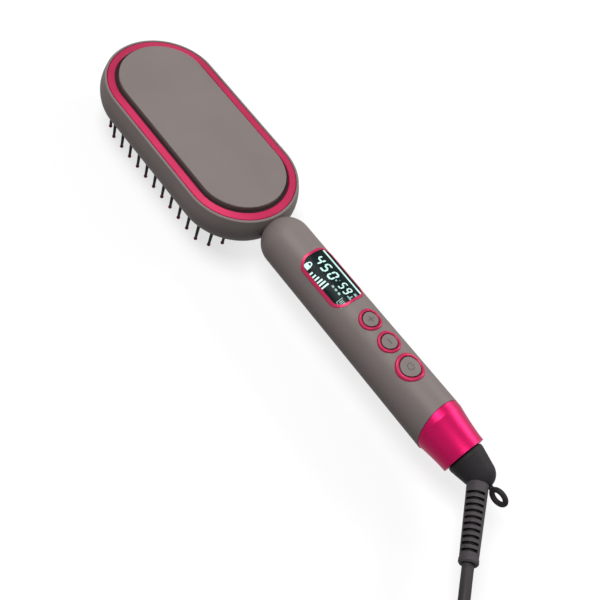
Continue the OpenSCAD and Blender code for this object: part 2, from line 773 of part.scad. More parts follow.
// A button ring: a half-round bead on a tube that passes through the sleeve, carried round the button
// as one section whose bead follows the handle's curved surface
module button_ring(i) color(pink) placed() {
    steps = 40;
    bead_n = 6;
    in_r = ring_r[i] - ring_w[i];
    mean_r = ring_r[i] - ring_w[i] / 2;
    bead = [for (j = [0:bead_n]) let (b = 180 * j / bead_n)
        [mean_r + ring_w[i] / 2 * cos(b), 0.02 + ring_rise * sin(b)]];
    n = bead_n + 4;
    rings = [for (k = [0:steps - 1]) let (a = 360 * k / steps, way = [cos(a), sin(a)]) each concat(
        [for (p = bead) on_sleeve(i, p[0] * way, p[1])],
        [for (r = [in_r, ring_tube_r(i)]) [button_x[i] + r * way[0], r * way[1], ring_foot(i)]],
        [on_sleeve(i, ring_tube_r(i) * way, 0.02)]
    )];
    polyhedron(points = rings, faces = [for (k = [0:steps - 1]) for (j = [0:n - 1])
        let (k2 = (k + 1) % steps, j2 = (j + 1) % n) [k * n + j, k * n + j2, k2 * n + j2, k2 * n + j]]);
}

// The point at a given rise over the handle's surface, from its place beside a button's middle
function on_sleeve(i, place, rise) =
    let (x = button_x[i] + place[0], r = sleeve_r(x) + rise)
    [x, place[1], axis_z + sqrt(r * r - pow(place[1], 2))];

// Height of the foot of a ring's tube, level with the sleeve's inside at the tube's edge
function ring_foot(i) =
    let (r = sleeve_r(button_x[i]) - sleeve_t, w = ring_tube_r(i)) axis_z + sqrt(r * r - w * w) - 0.3;

module increase_ring() button_ring(0);
module decrease_ring() button_ring(1);
module power_ring() button_ring(2);

function cap_r(i) = ring_r[i] - ring_w[i] - cap_gap;

module button_cap(i) color(grey) placed() {
    flange_top = ring_foot(i) - 0.15;
    translate([button_x[i], 0, 0]) {
        translate([0, 0, flange_top - flange_t]) cylinder(r = cap_r(i) + flange_w, h = flange_t);
        translate([0, 0, stem_z]) cylinder(d = stem_d, h = flange_top - stem_z - flange_t / 2);
    }
    intersection() {
        taper(cap_rise, shoulder_x, joint_x);
        translate([button_x[i], 0, flange_top - eps]) cylinder(r = cap_r(i), h = through);
    }
}

module increase_cap() button_cap(0);
module decrease_cap() button_cap(1);
module power_cap() button_cap(2);

module switch_housing(i) color([0.1, 0.1, 0.1]) placed() translate([button_x[i], 0, board_top]) difference() {
    translate([-switch_w / 2, -switch_w / 2, 0]) cube([switch_w, switch_w, switch_h]);
    translate([0, 0, switch_h - well_d]) cylinder(d = plunger_d + 0.2, h = through);
}

module increase_switch() switch_housing(0);
module decrease_switch() switch_housing(1);
module power_switch() switch_housing(2);

module switch_plunger(i) color("beige") placed()
    translate([button_x[i], 0, switch_top - plunger_in])
        cylinder(d = plunger_d, h = stem_z - switch_top + plunger_in);

module increase_plunger() switch_plunger(0);
module decrease_plunger() switch_plunger(1);
module power_plunger() switch_plunger(2);

module circuit_board() color("darkgreen") placed() {
    translate([board_x0, -board_w / 2, board_top - board_t]) cube([board_l, board_w, board_t]);
    // connector blocks for the two pairs of leads, under each end of the board
    for (x = [board_x0 + block_in, board_x0 + board_l - block_in - block_l])
        translate([x, -block_w / 2, lead_z - lead_r - 0.6])
            cube([block_l, block_w, board_top - board_t - lead_z + lead_r + 0.6 + eps]);
}

// The carrier: a half tube that fits the sleeve, with a rail on each side under the board
module board_carrier() color([0.3, 0.3, 0.32]) placed() {
    x0 = board_x0 - carrier_t;
    x1 = board_x0 + board_l + carrier_t;
    deck_z = board_top - board_t;
    rib_t = 1.4;
    rib_in = 12;
    lead_way = 2 * (lead_y + lead_r) + 1;
    difference() {
        taper(-sleeve_t - fit, x0, x1);
        taper(-sleeve_t - fit - carrier_t, x0 - past, x1 + past);
        translate([x0 - past, -through / 2, deck_z]) cube([x1 - x0 + 2 * past, through, through]);
    }
    // three ribs under the board, each with a notch for the leads
    for (x = [x0 + rib_in, (x0 + x1) / 2, x1 - rib_in]) intersection() {
        taper(-sleeve_t - fit - carrier_t + eps, x, x + rib_t);
        translate([x, -through / 2, 0]) difference() {
            cube([rib_t, through, deck_z]);
            translate([-past, (through - lead_way) / 2, lead_z - 2 * lead_r])
                cube([rib_t + 2 * past, lead_way, through]);
        }
    }
}

// ---------- Collar and swivel ----------

spigot_root = 6;     // how far the spigot runs on inside the collar
function collar_r(t) = collar_end_r + (handle_tail_r - collar_end_r) * pow(1 - t, 1.5);

module collar() color(pink) placed() {
    n = 8;
    lean_x = joint_x - 12;
    difference() {
        intersection() {
            on_axis() rotate_extrude() polygon(concat(
                [[0, lean_x], [sleeve_r(lean_x), lean_x]],
                [for (i = [0:n]) [collar_r(i / n), joint_x + (collar_x - joint_x) * i / n]],
                [[0, collar_x]]
            ));
            behind_joint(joint_gap);
        }
        on_axis(lean_x) cylinder(r = bush_r, h = end_wall_x - lean_x);
        on_axis(joint_x) cylinder(r = journal_r + 2 * fit, h = through);
    }
    spigot_r = sleeve_r(spigot_x) - sleeve_t - 0.05;
    pipe(spigot_r, spigot_r - spigot_t, spigot_x, joint_x + spigot_root);
}

module swivel_bush() color("ivory") placed() pipe(bush_r - 0.02, journal_r + running, bush_x, end_wall_x);

// The turning part: nose, keeper flange, journal, shoulder and the round corner that takes the boot
module swivel_elbow() color(soft_black) placed() {
    gap = 0.3;
    cone_x = collar_x + 2.4;
    // the cone runs from the shoulder to where it touches the round end
    cone_turn = atan2(elbow_r, cone_x - corner_x) - acos(elbow_end_r / norm([corner_x - cone_x, elbow_r]));
    cone_end = [0, corner_x] + elbow_end_r * [sin(cone_turn), cos(cone_turn)];
    difference() {
        union() {
            on_axis() rotate_extrude() polygon([
                [0, nose_x], [slip_seat(0), nose_x], [slip_seat(0), slip_x(1) - 0.5],
                [slip_seat(1), slip_x(1) - 0.5], [slip_seat(1), keeper_x], [keeper_r, keeper_x],
                [keeper_r, keeper_x + keeper_l], [journal_r, keeper_x + keeper_l],
                [journal_r, collar_x + gap], [elbow_r - 0.6, collar_x + gap],
                [elbow_r, collar_x + gap + 0.6], [elbow_r, cone_x], cone_end, [0, cone_end[1]],
            ]);
            on_axis(corner_x) sphere(elbow_end_r);
        }
        relief_space();
    }
}

// The boot's socket in the elbow
module relief_space() {
    translate([corner_x, 0, axis_z]) rotate([0, 90, -elbow_bend]) translate([0, 0, socket_l])
        cylinder(r = relief_r, h = through);
}

// Each slip ring sits on its own step of the nose, so that its finger clears the other ring
function slip_x(i) = nose_x + 1 + i * (slip_l + 1.6);
function slip_seat(i) = nose_r - (1 - i) * (slip_t + 0.7);

module slip_rings() color("gold") placed() for (i = [0, 1])
    pipe(slip_seat(i) + slip_t, slip_seat(i), slip_x(i), slip_x(i) + slip_l);

// The fixed block with one sprung finger on each slip ring
module contact_block() color([0.75, 0.7, 0.55]) placed() {
    finger_t = 0.5;
    finger_w = 3;
    on_axis(contact_x) cylinder(r = sleeve_r(spigot_x) - sleeve_t - spigot_t - fit, h = contact_l);
    for (i = [0, 1]) {
        touch_r = slip_seat(i) + slip_t + 0.1;
        x1 = slip_x(i) + slip_l;
        translate([contact_x + 1, i == 0 ? touch_r : -touch_r - finger_t, axis_z - finger_w / 2])
            cube([x1 - contact_x - 1, finger_t, finger_w]);
    }
}

module mains_leads() color("dimgray") placed() for (s = [-1, 1]) {
    x0 = board_x0 + board_l - block_in;
    translate([x0, s * lead_y, lead_z]) rotate([0, 90, 0]) cylinder(r = lead_r, h = contact_x - x0);
}

module hanging_loop() color(soft_black) placed() {
    translate([loop_x, 0, axis_z]) rotate([90, 0, 0]) rotate_extrude() difference() {
        translate([loop_r, 0]) circle(loop_d / 2);
        translate([0, -loop_d]) square([eye_r, 2 * loop_d]);
    }
    // the foot by which the loop sits on the swivel's round end
    difference() {
        on_axis(corner_x + elbow_end_r - 1) cylinder(r = loop_d / 2, h = 1 + loop_gap + loop_d / 4);
        on_axis(corner_x) sphere(elbow_end_r + 0.02);
    }
}

// ---------- Strain relief, cord and plug ----------

module along_relief() { translate([corner_x, 0, axis_z]) rotate([0, 90, -elbow_bend]) children(); }

function relief_at(t) = relief_r + (relief_end_r - relief_r) * t / relief_l;

// Slots are cut from two sides in turn, which leaves a spine above and one below
module strain_relief() color(soft_black) placed() along_relief() difference() {
    ring_0 = relief_l - relief_ring_l;
    rotate_extrude() polygon([
        [0, socket_l], [relief_at(socket_l), socket_l], [relief_at(ring_0), ring_0],
        [relief_end_r + 0.3, ring_0 + 0.6], [relief_end_r + 0.3, relief_l - 0.8],
        [relief_end_r - 0.3, relief_l], [0, relief_l],
    ]);
    for (i = [0:slot_n - 1]) for (side = [0, 1]) translate([0, 0, slot_0 + (i - side / 2) * slot_pitch])
        rotate(side * 180 + 30) relief_slot(relief_at(slot_0 + i * slot_pitch));
}

module relief_slot(r) {
    rotate(-62) rotate_extrude(angle = 124) translate([r - slot_d, 0]) square([slot_d + 2, slot_w]);
}

// A tube swept along a list of points, with its rings square to the way
function unit(v) = v / norm(v);
function heading(way, i) = unit(way[min(i + 1, len(way) - 1)] - way[max(i - 1, 0)]);
module swept_tube(way, d, sides) {
    n = len(way);
    rings = [for (i = [0:n - 1]) let (f = heading(way, i), u = unit(cross([0, 0, 1], f)), w = cross(f, u))
        for (k = [0:sides - 1]) let (a = 360 * k / sides) way[i] + d / 2 * (cos(a) * u + sin(a) * w)];
    polyhedron(
        points = rings,
        faces = concat(
            [[for (k = [0:sides - 1]) k]],
            [for (i = [0:n - 2]) for (k = [0:sides - 1]) let (b = (k + 1) % sides)
                [i * sides + k, (i + 1) * sides + k, (i + 1) * sides + b, i * sides + b]],
            [[for (k = [sides - 1:-1:0]) (n - 1) * sides + k]]
        )
    );
}

module cord_tube() color(soft_black)
    swept_tube(concat([cord_start], cord_way), cord_d, cord_sides);

module cord_coil() color(soft_black) translate([coil_at[0], coil_at[1], tie_t]) rotate_extrude() {
    translate([coil_r, coil_h / 2]) rounded_oblong(coil_w, coil_h, cord_d / 2);
}

// A strap round the bundle of turns
module cord_tie() color([0.1, 0.1, 0.1]) translate([coil_at[0], coil_at[1], 0]) rotate(tie_turn)
    translate([coil_r, 0, tie_t + coil_h / 2]) rotate([90, 0, 0]) translate([0, 0, -tie_w / 2])
        linear_extrude(tie_w) difference() {
            rounded_oblong(coil_w + 2 * tie_t, coil_h + 2 * tie_t, cord_d / 2 + tie_t);
            rounded_oblong(coil_w + 0.02, coil_h + 0.02, cord_d / 2);
        }

module cord_tail() color(soft_black) swept_tube(tail_way, cord_d, cord_sides);

// The plug: a flat two-blade plug with a moulded neck, lying on the coil
module plug_body() color(soft_black) translate(plug_at) {
    corner = 4;
    grip_pitch = 3;
    grip_0 = 5;
    rotate([0, 90, 0]) cylinder(r1 = cord_d / 2 + 0.9, r2 = plug_t / 2 - 1, h = plug_neck_l);
    translate([plug_neck_l, 0, 0]) difference() {
        translate([-eps, 0, 0]) rotate([90, 0, 90]) linear_extrude(plug_l)
            rounded_oblong(plug_w, plug_t, corner);
        for (s = [-1, 1]) for (i = [0:3])
            translate([grip_0 + grip_pitch * i, s * plug_w / 2, 0])
                cylinder(r = 0.8, h = through, center = true);
    }
}

module plug_blades() color("gold")
    translate(plug_at + [plug_neck_l + plug_l, 0, 0]) for (s = [-1, 1])
        translate([0, s * blade_gap / 2 - blade_t / 2, -blade_h / 2]) difference() {
            cube([blade_l, blade_t, blade_h]);
            translate([blade_l - hole_in, -past, blade_h / 2]) rotate([-90, 0, 0])
                cylinder(r = blade_h / 4, h = through);
        }

head_housing();
accent_ring();
top_panel();
bristle_frame();
bristles();
heating_plate();
heating_teeth();
tooth_caps();
heater_front();
heater_rear();
heater_clamp();
thermal_fuse();
temperature_sensor();
head_screws();
heater_leads();
neck_clip();
handle_sleeve();
board_carrier();
circuit_board();
display_module();
display_window();
display_frame();
decrease_ring();
increase_ring();
power_ring();
decrease_cap();
increase_cap();
power_cap();
decrease_switch();
increase_switch();
power_switch();
decrease_plunger();
increase_plunger();
power_plunger();
collar();
swivel_bush();
contact_block();
mains_leads();
slip_rings();
swivel_elbow();
hanging_loop();
strain_relief();
cord_tube();
cord_coil();
cord_tie();
cord_tail();
plug_body();
plug_blades();
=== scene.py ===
# %% [markdown]
# # A heated hair straightening brush
# The brush is an oblong head with bristles under it, on a round handle with a lit display and three
# buttons. Its construction is already made, as solids in one shared frame. This file gives it its
# looks: each solid gets a finish of its own, and the fine things are modelled on top of them.

# %% The frame: the solids and their bodies
import math

import bmesh
import bpy
from mathutils import Matrix, Vector


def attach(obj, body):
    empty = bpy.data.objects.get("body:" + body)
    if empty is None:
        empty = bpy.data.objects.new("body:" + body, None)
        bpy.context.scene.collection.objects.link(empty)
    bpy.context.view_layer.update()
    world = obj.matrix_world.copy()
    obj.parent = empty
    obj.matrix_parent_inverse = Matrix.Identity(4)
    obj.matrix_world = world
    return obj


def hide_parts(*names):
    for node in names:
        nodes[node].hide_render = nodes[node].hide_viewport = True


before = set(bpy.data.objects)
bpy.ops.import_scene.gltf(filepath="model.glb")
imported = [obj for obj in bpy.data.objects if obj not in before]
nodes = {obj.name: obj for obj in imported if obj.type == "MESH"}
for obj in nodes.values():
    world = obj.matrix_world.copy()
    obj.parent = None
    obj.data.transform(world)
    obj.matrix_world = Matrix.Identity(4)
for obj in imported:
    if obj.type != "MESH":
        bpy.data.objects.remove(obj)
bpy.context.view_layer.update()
MM = 0.001

# %% [markdown]
# A few sizes are needed again here, because marks and pieces lie on the handle's round surface. They
# are in millimetres from the middle of the head, as they were measured, and `MIDDLE` brings them into
# the frame, whose origin is under the middle of the brush.

# %% Sizes on the handle
MIDDLE = 92.97
AXIS_Z = 28.2
SHOULDER_X, JOINT_X = 82.0, 206.5
SHOULDER_R, TAIL_R = 14.1, 14.6
BUTTONS = {"increase": 146.2, "decrease": 161.1, "power": 177.5}
CAP_RISE = 0.45


def handle_r(x):
    return SHOULDER_R + (TAIL_R - SHOULDER_R) * (x - SHOULDER_X) / (JOINT_X - SHOULDER_X)


def on_handle(x, arc, rise):
    """The point at x along the handle, at an arc length from its top line, above its surface."""
    r = handle_r(x)
    return Vector((x - MIDDLE, (r + rise) * math.sin(arc / r), AXIS_Z + (r + rise) * math.cos(arc / r))) * MM


print("handle radius at the buttons:", {n: round(handle_r(x), 2) for n, x in BUTTONS.items()})

# %% [markdown]
# The camera comes first, because everything else is compared with the photograph through it. It looks
# down on the brush from beyond the cord's end, and it is rolled so that the brush crosses the picture
# from corner to corner. A viewing direction and a roll say this more plainly than a matrix.

# %% The camera at the photograph's viewing angle
CAMERA_PLACE = Vector((154.3, -253.7, 415.9)) * MM
CAMERA_LOOK = Vector((-0.28182, 0.50102, -0.81826))
CAMERA_ROLL = -25.96
FRAME_PX = 600
FOCAL_PX = 916.1

lens = bpy.data.cameras.new("camera")
lens.sensor_width = 36
lens.lens = lens.sensor_width * FOCAL_PX / FRAME_PX
camera = bpy.data.objects.new("camera", lens)
bpy.context.scene.collection.objects.link(camera)
roll = Matrix.Rotation(math.radians(CAMERA_ROLL), 3, CAMERA_LOOK).to_quaternion()
camera.rotation_mode = "QUATERNION"
camera.rotation_quaternion = roll @ CAMERA_LOOK.to_track_quat("-Z", "Y")
camera.location = CAMERA_PLACE
bpy.context.scene.camera = camera
bpy.context.scene.view_settings.view_transform = "Standard"
print("focal length in mm:", round(lens.lens, 2))

# %% [markdown]
# The cord is next. It is 1.8 m of a 5.8 mm mains lead: it leaves the boot, comes down to the surface in
# one slack bend, and the rest lies in a neat coil of three layers under a tie, with the plug on top. The
# coil is out of the photograph's view. Each turn keeps its radius for most of its way and moves over to
# the next place in its last part, as a cord that is wound by hand does. The curve's bevel is 1, and each
# point's radius is the cord's own, because Blender adds a point's radius to the box of the curve.

# %% The cord's line, from the boot to the plug
CORD_D = 5.8
EXIT = Vector((172.96, -36.64, 28.2))
EXIT_DIRECTION = Vector((0.6157, -0.788, 0))
COIL_AT = Vector((72.8, -13.4))
COIL_RADII = [37.8, 32, 26.2, 26.2, 32, 37.8, 37.8, 32]
COIL_HEIGHTS = [3.7, 3.7, 3.7, 9.5, 9.5, 9.5, 15.3, 15.3]
COIL_START, COIL_END = 254.7, 200.1
CHANGE = 90
DOWN = [
    (11.8, -14.9, 28), (19.8, -23.9, 25.5), (27.8, -31.4, 19.5), (34.8, -36.9, 12.5),
    (41.8, -41.9, 6.5), (48.8, -45.9, 3.6), (55.8, -48.4, 3.2),
]
TO_PLUG = [
    (45.8, -30.4, 16.6), (50.8, -36.4, 19), (56.8, -41.4, 22), (63.8, -44.4, 24.8), (70.8, -45.4, 25.7),
    (74, -45.4, 25.7),
]


def wound(angle):
    """A point on the coil: angle counts on through all the turns."""
    turn, part = divmod(angle - COIL_START, 360)
    turn = int(turn)
    after = min(turn + 1, len(COIL_RADII) - 1)
    share = max(0, (part - 360 + CHANGE) / CHANGE)
    share = share * share * (3 - 2 * share)
    radius = COIL_RADII[turn] + share * (COIL_RADII[after] - COIL_RADII[turn])
    height = COIL_HEIGHTS[turn] + share * (COIL_HEIGHTS[after] - COIL_HEIGHTS[turn])
    a = math.radians(angle)
    return (COIL_AT.x + radius * math.cos(a), COIL_AT.y + radius * math.sin(a), height)


def from_exit(point):
    return Vector((EXIT.x + point[0], EXIT.y + point[1], point[2])) * MM


last_angle = COIL_END + 360 * len(COIL_RADII)
steps = round((last_angle - COIL_START) / 20)
coil = [wound(COIL_START + (last_angle - COIL_START) * i / steps) for i in range(steps + 1)]
start = [(EXIT + EXIT_DIRECTION * s) * MM for s in (-4, 0, 8)]
line = start + [from_exit(p) for p in DOWN + coil + TO_PLUG]

cord_curve = bpy.data.curves.new("mains_cord", "CURVE")
cord_curve.dimensions = "3D"
cord_curve.bevel_depth = 1
cord_curve.bevel_resolution = 4
cord_curve.resolution_u = 4
cord_curve.use_fill_caps = True
spline = cord_curve.splines.new("BEZIER")
spline.bezier_points.add(len(line) - 1)
for knot, point in zip(spline.bezier_points, line):
    knot.co = point
    knot.radius = CORD_D / 2 * MM
    knot.handle_left_type = knot.handle_right_type = "AUTO"
mains_cord = bpy.data.objects.new("mains_cord", cord_curve)
bpy.context.scene.collection.objects.link(mains_cord)
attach(mains_cord, "swivel")
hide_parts("cord_tube", "cord_coil", "cord_tail")
print("points on the cord:", len(line), "turns:", round((last_angle - COIL_START) / 360, 2))

# %% [markdown]
# Materials, and the world, are written as arithmetic. A `Wire` stands for one output of a node, and
# adding, taking away, multiplying or dividing wires adds the node that does it: Math for numbers,
# Vector Math for vectors and colours. Every other node comes from one method, which takes the node's
# type, its settings, and then its inputs by name.

# %% Sockets that can be calculated with
class Wire:
    def __init__(self, tree, socket):
        self.tree = tree
        self.socket = socket

    def feed(self, socket, value):
        if isinstance(value, Wire):
            self.tree.links.new(value.socket, socket)
        else:
            socket.default_value = value

    def node(self, kind, settings=None, **values):
        """A new node: its settings first, then its inputs by name, as a number, a tuple or a wire."""
        made = self.tree.nodes.new(kind)
        for key, value in (settings or {}).items():
            setattr(made, key, value)
        for key, value in values.items():
            name = key.replace("_", " ")
            self.feed(next(s for s in made.inputs if s.enabled and s.name == name), value)
        return Wire(self.tree, next(s for s in made.outputs if s.enabled))

    def out(self, name):
        return Wire(self.tree, self.socket.node.outputs[name])

    def calculate(self, operation, *operands):
        flat = all(
            v.socket.type == "VALUE" if isinstance(v, Wire) else not isinstance(v, tuple) for v in operands)
        made = self.tree.nodes.new("ShaderNodeMath" if flat else "ShaderNodeVectorMath")
        made.operation = operation
        for socket, value in zip(made.inputs, operands):
            if not flat and isinstance(value, (int, float)):
                value = (value, value, value)
            self.feed(socket, value)
        return Wire(self.tree, next(s for s in made.outputs if s.enabled))

    def __add__(self, other):
        return self.calculate("ADD", self, other)

    def __radd__(self, other):
        return self.calculate("ADD", other, self)

    def __sub__(self, other):
        return self.calculate("SUBTRACT", self, other)

    def __rsub__(self, other):
        return self.calculate("SUBTRACT", other, self)

    def __mul__(self, other):
        return self.calculate("MULTIPLY", self, other)

    def __rmul__(self, other):
        return self.calculate("MULTIPLY", other, self)

    def __truediv__(self, other):
        return self.calculate("DIVIDE", self, other)

    def __rtruediv__(self, other):
        return self.calculate("DIVIDE", other, self)

    def ramp(self, low, high, to=(0, 1)):
        """This number brought smoothly from low..high to the range given."""
        return self.node(
            "ShaderNodeMapRange", {"interpolation_type": "SMOOTHSTEP"},
            Value=self, From_Min=low, From_Max=high, To_Min=to[0], To_Max=to[1],
        )

    def between(self, a, b):
        """Colour a where this mask is 0 and colour b where it is 1."""
        return self.node("ShaderNodeMix", {"data_type": "RGBA"}, Factor=self, A=a, B=b)

    def noise(self, scale, detail=2.0, roughness=0.5):
        return self.node(
            "ShaderNodeTexNoise", None, Vector=self, Scale=scale, Detail=detail, Roughness=roughness)

    def bump(self, strength, distance):
        return self.node("ShaderNodeBump", None, Strength=strength, Distance=distance, Height=self)


def looked_at(tree):
    """1 where the camera, a reflection or glass looks at a surface, and 0 for the light that bounces."""
    camera_ray = Wire(tree, tree.nodes.new("ShaderNodeLightPath").outputs["Is Camera Ray"])
    seen = camera_ray.calculate("MAXIMUM", camera_ray, camera_ray.out("Is Glossy Ray"))
    return seen.calculate("MAXIMUM", seen, camera_ray.out("Is Transmission Ray"))


def colour(r, g, b):
    """A colour judged from 0 to 255, as Blender's linear light."""
    def linear(v):
        v = v / 255
        return v / 12.92 if v <= 0.04045 else ((v + 0.055) / 1.055) ** 2.4
    return (linear(r), linear(g), linear(b), 1.0)


def material(name, paint, **uniform):
    """A Principled material: uniform values on its sockets, and paint(place) for what varies."""
    made = bpy.data.materials.new(name)
    made.use_nodes = True
    tree = made.node_tree
    shader = tree.nodes["Principled BSDF"]
    for key, value in uniform.items():
        shader.inputs[key.replace("_", " ")].default_value = value
    place = Wire(tree, tree.nodes.new("ShaderNodeTexCoord").outputs["Object"])
    for key, wire in paint(place).items():
        place.feed(shader.inputs[key.replace("_", " ")], wire)
    return made


print("a test of the arithmetic:", colour(128, 128, 128)[0])

# %% [markdown]
# The studio is plain: one large soft light above the brush, and a weaker one behind it, which lights the
# far side of the collar and of the ring. The world is white where the camera, a reflection or glass
# looks at it, and only a dim fill for everything else, so that the soft lights model the forms.

# %% Lights and world
FILL = 0.2


def light(name, place, size, power):
    """A soft light that shines on the middle of the brush."""
    lamp = bpy.data.lights.new(name, "AREA")
    lamp.shape = "RECTANGLE"
    lamp.size, lamp.size_y = size
    lamp.energy = power
    holder = bpy.data.objects.new(name, lamp)
    bpy.context.scene.collection.objects.link(holder)
    holder.location = place
    holder.rotation_euler = (-Vector(place)).to_track_quat("-Z", "Y").to_euler()


light("key", (-0.22, -0.2, 1.05), (0.6, 0.5), 10.8)
light("rear", (0.2, 0.8, 0.6), (0.6, 0.3), 5)

world = bpy.data.worlds.new("studio")
bpy.context.scene.world = world
world.use_nodes = True
background = world.node_tree.nodes["Background"]
background.inputs["Color"].default_value = (1, 1, 1, 1)
watched = looked_at(world.node_tree)
strength = watched.node("ShaderNodeMapRange", None, Value=watched, To_Min=FILL, To_Max=1)
strength.feed(background.inputs["Strength"], strength)
print("world fill:", FILL)

# %% [markdown]
# The grey shell is a satin metallic paint: tiny flakes vary its colour and its gloss, and a broad,
# faint cloudiness keeps large surfaces from looking like one flat colour. The pinks are the same
# paint with a thin clear lacquer over it. A picture of flakes would need a map for every solid, and
# noise on Object coordinates needs none.

# %% Metallic paint
def paint(dark, light, flake, cloud=25.0, grain=0.05, gloss=(0.36, 0.46), lacquer=None):
    """A metallic paint: flakes of the given size per metre, over a faint cloudiness."""
    def varied(place):
        flakes = place.noise(flake, detail=1.0)
        clouds = place.noise(cloud, detail=3.0)
        mask = (flakes * 0.55 + clouds * 0.45).ramp(0.3, 0.7)
        fine = place.noise(flake * 0.6, detail=3.0)
        made = {
            "Base_Color": mask.between(dark, light),
            "Roughness": clouds.ramp(0.3, 0.7, gloss),
            "Normal": fine.bump(grain, 0.02 * MM),
        }
        if lacquer:
            made["Coat_Weight"] = clouds.ramp(0.2, 0.8, lacquer)
        return made
    return varied


finishes = {}
finishes["grey_shell"] = material(
    "grey_shell", paint(colour(113, 104, 102), colour(121, 112, 110), 3500.0, gloss=(0.5, 0.56)),
    Metallic=0.1, Specular_IOR_Level=0.12)
LACQUER = (0.05, 0.12)
trim_paint = paint(
    colour(158, 20, 64), colour(178, 28, 78), 3500.0, gloss=(0.38, 0.46), lacquer=LACQUER)
finishes["pink_trim"] = material(
    "pink_trim", trim_paint, Metallic=0.35, Specular_IOR_Level=0.25, Coat_Roughness=0.3)
collar_paint = paint(
    colour(166, 0, 68), colour(186, 2, 84), 3500.0, gloss=(0.36, 0.42), lacquer=LACQUER)
finishes["pink_collar"] = material(
    "pink_collar", collar_paint, Metallic=0.75, Specular_IOR_Level=0.25, Coat_Roughness=0.3)
print("paints:", sorted(finishes))

# %% [markdown]
# Moulded parts take the texture of their mould, which is spark eroded and leaves a fine, even grain.
# Metal strip and pins are drawn or rolled, so their marks run one way: the noise is squeezed along
# that way, which stretches its spots into streaks.

# %% Moulded and drawn surfaces
def moulded(dark, light, grain=900.0, depth=0.04, strength=0.25, gloss=(0.45, 0.6)):
    """A moulded plastic or rubber: a spark-eroded grain and slightly uneven colour."""
    def varied(place):
        erosion = place.noise(grain, detail=4.0, roughness=0.6)
        clouds = place.noise(40.0, detail=2.0)
        return {
            "Base_Color": (erosion * 0.5 + clouds * 0.5).ramp(0.3, 0.7).between(dark, light),
            "Roughness": (clouds * 0.6 + erosion * 0.4).ramp(0.3, 0.7, gloss),
            "Normal": erosion.bump(strength, depth * MM),
        }
    return varied


def metal(dark, light, along="x", streak=4000.0, gloss=(0.25, 0.45), strength=0.15):
    """A drawn or rolled metal: fine streaks along one way."""
    def varied(place):
        squeeze = {"x": (0.02, 1.0, 1.0), "y": (1.0, 0.02, 1.0), "z": (1.0, 1.0, 0.02)}[along]
        streaks = (place * squeeze).noise(streak, detail=2.0)
        return {
            "Base_Color": streaks.ramp(0.25, 0.75).between(dark, light),
            "Roughness": streaks.ramp(0.25, 0.75, gloss),
            "Normal": streaks.bump(strength, 0.02 * MM),
        }
    return varied


print("ways of shaping a surface:", moulded.__name__, metal.__name__)

# %% [markdown]
# With these two, each plain finish is one line: its darkest and lightest colour, and its gloss. Most of
# them are inside the brush or under it, where they show only between the bristles.

# %% Plain finishes
finishes.update({
    "tip_caps": material(
        "tip_caps", moulded(colour(120, 44, 62), colour(140, 56, 74)), Specular_IOR_Level=0.4),
    "coated_plate": material(
        "coated_plate", moulded(colour(52, 49, 52), colour(70, 66, 69), grain=1600.0, gloss=(0.38, 0.55)),
        Metallic=0.55),
    "heater_ceramic": material(
        "heater_ceramic", moulded(colour(222, 216, 208), colour(236, 232, 226), gloss=(0.5, 0.7))),
    "spring_steel": material(
        "spring_steel", metal(colour(150, 150, 152), colour(176, 176, 178), "y"), Metallic=1.0),
    "screw_steel": material(
        "screw_steel", metal(colour(140, 140, 144), colour(170, 170, 172), "z"), Metallic=1.0),
    "brass_contacts": material(
        "brass_contacts", metal(colour(196, 160, 92), colour(214, 182, 112), "x", gloss=(0.2, 0.35)),
        Metallic=1.0),
    "glass_bead": material(
        "glass_bead", moulded(colour(120, 70, 34), colour(150, 92, 48), strength=0.05, gloss=(0.08, 0.16)),
        Coat_Weight=0.6),
    "lead_insulation": material(
        "lead_insulation", moulded(colour(132, 34, 28), colour(150, 42, 34)), Specular_IOR_Level=0.4),
    "carrier_plastic": material(
        "carrier_plastic", moulded(colour(76, 76, 79), colour(88, 88, 91))),
    "module_black": material(
        "module_black", moulded(colour(30, 30, 32), colour(40, 40, 43))),
    "ivory_plastic": material(
        "ivory_plastic", moulded(colour(206, 198, 174), colour(220, 212, 190))),
    "swivel_black": material(
        "swivel_black", moulded(colour(36, 34, 36), colour(46, 43, 45), grain=1400.0, gloss=(0.5, 0.62)),
        Specular_IOR_Level=0.1),
    "cord_rubber": material(
        "cord_rubber", moulded(colour(46, 43, 45), colour(58, 54, 57), grain=700.0, gloss=(0.45, 0.6)),
        Specular_IOR_Level=0.15),
})
print("finishes so far:", len(finishes))

# %% [markdown]
# The bristles are dark nylon, with a ball of dark rose moulded on each tip. All the tips end at the
# same height, so the height alone says where the rose begins.

# %% Bristles
TIP_LOW, TIP_HIGH = 2.6 * MM, 3.2 * MM


def bristle_paint(place):
    height = place.node("ShaderNodeSeparateXYZ", None, Vector=place).out("Z")
    erosion = place.noise(1800.0, detail=3.0)
    tip = 1 - height.ramp(TIP_LOW, TIP_HIGH)
    nylon = erosion.ramp(0.3, 0.7).between(colour(26, 22, 24), colour(38, 33, 35))
    rose = erosion.ramp(0.3, 0.7).between(colour(96, 26, 46), colour(116, 38, 58))
    return {
        "Base_Color": tip.between(nylon, rose),
        "Roughness": erosion.ramp(0.3, 0.7, (0.42, 0.56)),
        "Normal": erosion.bump(0.12, 0.03 * MM),
    }


finishes["black_nylon"] = material("black_nylon", bristle_paint, Specular_IOR_Level=0.12)
print("rose below", TIP_LOW, "and black above", TIP_HIGH)
